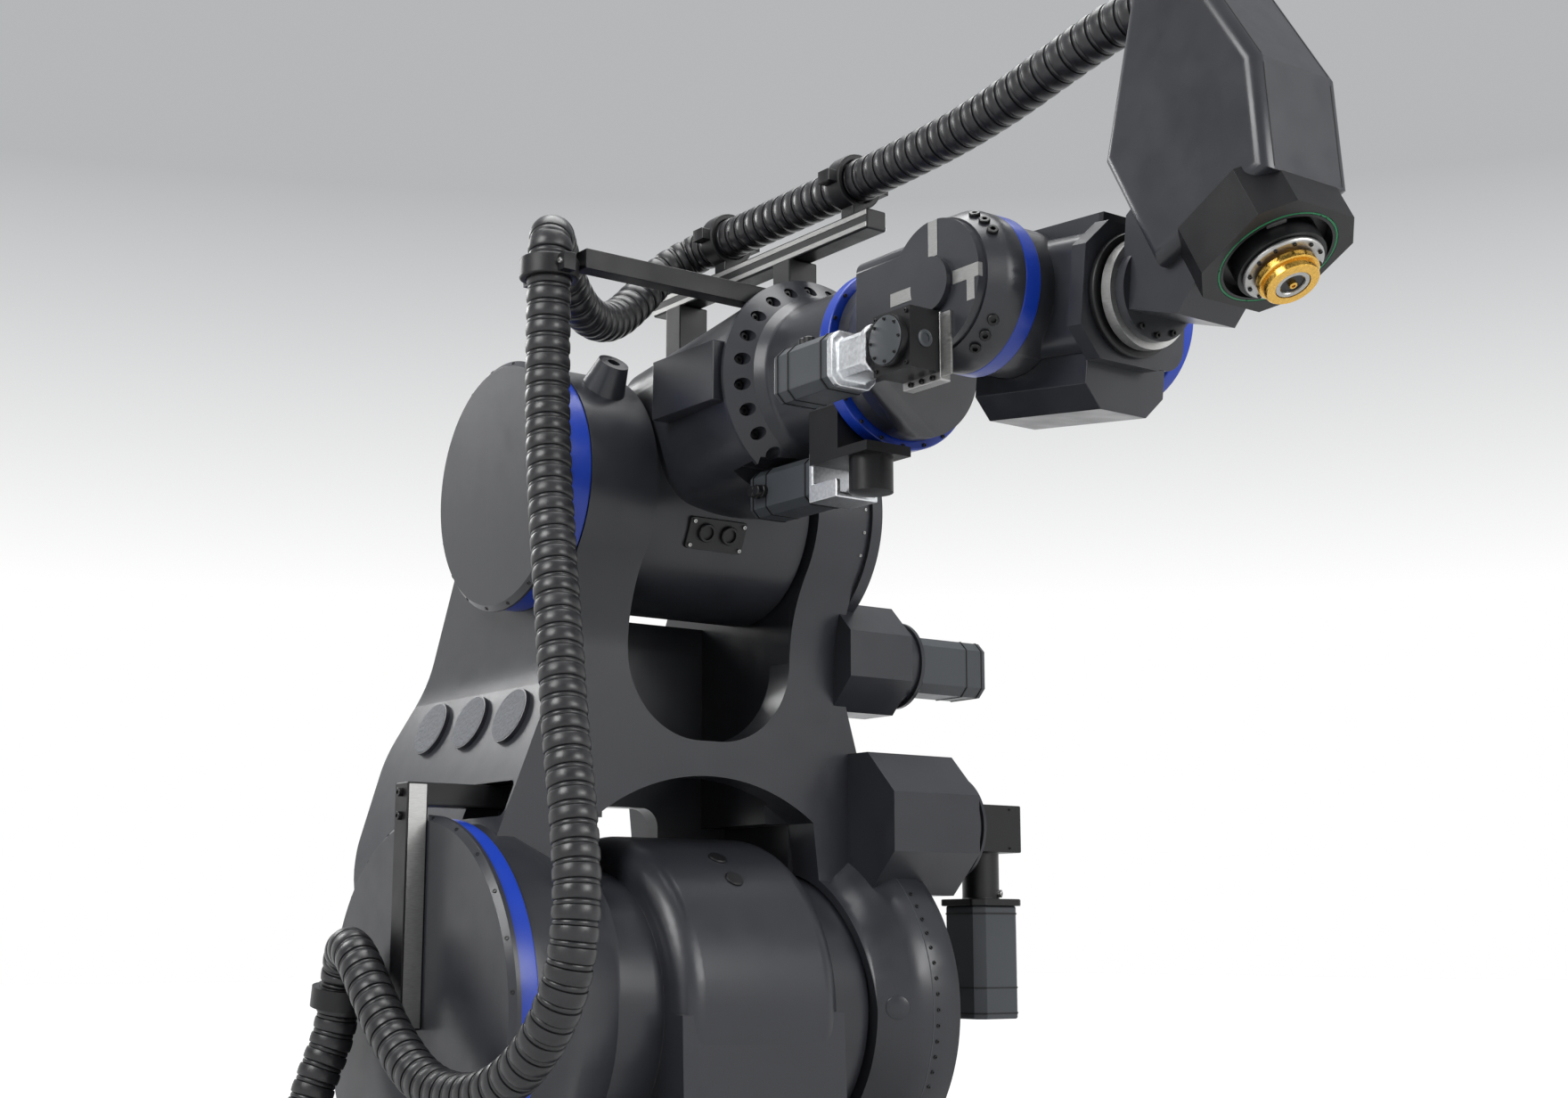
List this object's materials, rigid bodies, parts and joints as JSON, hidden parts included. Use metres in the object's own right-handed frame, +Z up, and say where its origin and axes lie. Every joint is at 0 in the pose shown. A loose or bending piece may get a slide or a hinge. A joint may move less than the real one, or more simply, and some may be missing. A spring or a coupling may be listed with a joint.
{
  "type": "industrial robot arm",
  "caption": "Floor-standing six-axis machining robot arm with geared joints, a clamped hose along the arm and a spindle head on its wrist.",
  "frame": {"origin": "on the floor, under the base plate, on the swivel axis", "axes": "+Z up along the swivel axis, +X along the arm's reach at rest, shoulder and elbow axes along Y"},
  "size_m": [2.8549, 1.6712, 2.913],
  "materials": {
    "charcoal_paint": "satin paint over castings",
    "blue_paint": "gloss paint",
    "black_steel": "satin black",
    "motor_grey": "fine textured paint",
    "bright_aluminium": "machined",
    "plain_steel": "brushed",
    "gold_coating": "hard coated",
    "green_rubber": "matte",
    "hose_plastic": "ribbed, matte"
  },
  "bodies": {
    "base": {"base_plate": "charcoal_paint", "base_pedestal": "charcoal_paint", "slew_ring": "blue_paint"},
    "carousel": {"turntable": "charcoal_paint", "carousel_casting": "charcoal_paint", "feed_gland": "black_steel", "hose_feed": "hose_plastic"},
    "lower_arm": {"lower_arm_casting": "charcoal_paint", "shoulder_ring": "blue_paint", "shoulder_cap": "charcoal_paint", "shoulder_cover": "charcoal_paint", "elbow_ring": "blue_paint", "elbow_cap": "charcoal_paint", "elbow_cover": "charcoal_paint", "shoulder_gearbox": "charcoal_paint", "shoulder_angle_drive": "black_steel", "shoulder_motor": "motor_grey", "elbow_gearbox": "charcoal_paint", "elbow_motor": "motor_grey", "hose_bar": "black_steel", "lower_hose_clamp": "black_steel", "hose_riser": "hose_plastic"},
    "upper_arm": {"elbow_housing": "charcoal_paint", "elbow_flange": "charcoal_paint", "forearm_tube": "charcoal_paint", "roll_ring": "blue_paint", "side_cover": "charcoal_paint", "roll_motor": "motor_grey", "roll_motor_bell": "bright_aluminium", "roll_gearbox": "black_steel", "hose_rail": "black_steel", "rail_brackets": "black_steel", "hose_rod": "black_steel", "upper_hose_clamp": "black_steel", "rail_clamps": "black_steel", "hose_loop": "hose_plastic", "hose_front_roll": "hose_plastic"},
    "wrist_roll": {"wrist_casting": "charcoal_paint", "bend_ring": "blue_paint", "bend_disc": "charcoal_paint", "bend_motor": "motor_grey", "bend_motor_bell": "bright_aluminium", "bend_gearbox": "black_steel", "bend_drive_plate": "plain_steel", "hose_front_bend": "hose_plastic"},
    "wrist_bend": {"link_casting": "charcoal_paint", "link_drive_cover": "charcoal_paint", "link_ring": "blue_paint", "tool_ring": "black_steel", "hose_front_head": "hose_plastic"},
    "head": {"tool_flange": "plain_steel", "head_bracket": "charcoal_paint", "head_cover": "charcoal_paint", "nose_block": "black_steel", "nose_seal": "green_rubber", "nose_plate": "plain_steel", "head_gland": "black_steel"},
    "spindle": {"spindle_nose": "gold_coating", "spindle_core": "black_steel"}
  },
  "joints": [
    {"name": "base_swivel", "type": "hinge", "parent": "base", "child": "carousel", "pos_m": [0, 0, 0.378], "axis": [0, 0, 1], "range_deg": [-180, 180]},
    {"name": "shoulder", "type": "hinge", "parent": "carousel", "child": "lower_arm", "pos_m": [0.3, 0, 1.05], "axis": [0, 1, 0], "range_deg": [-40, 60], "deforming": ["hose_feed"]},
    {"name": "elbow", "type": "hinge", "parent": "lower_arm", "child": "upper_arm", "pos_m": [0.3, 0, 2.177], "axis": [0, -1, 0], "range_deg": [-45, 75], "deforming": ["hose_riser"]},
    {"name": "forearm_roll", "type": "hinge", "parent": "upper_arm", "child": "wrist_roll", "pos_m": [0.3, 0, 2.353], "axis": [1, 0, 0], "range_deg": [-120, 120], "deforming": ["hose_front_roll"]},
    {"name": "wrist_bend", "type": "hinge", "parent": "wrist_roll", "child": "wrist_bend", "pos_m": [1.54, 0, 2.353], "axis": [0, 1, 0], "range_deg": [-45, 90], "deforming": ["hose_front_bend"]},
    {"name": "tool_roll", "type": "hinge", "parent": "wrist_bend", "child": "head", "pos_m": [1.54, 0, 2.353], "axis": [0.9925, 0, -0.1219], "range_deg": [-180, 180], "deforming": ["hose_front_head"]},
    {"name": "spindle_spin", "type": "hinge", "parent": "head", "child": "spindle", "pos_m": [2.13, 0, 2.253], "axis": [0.4695, 0, -0.8829], "continuous": true}
  ]
}
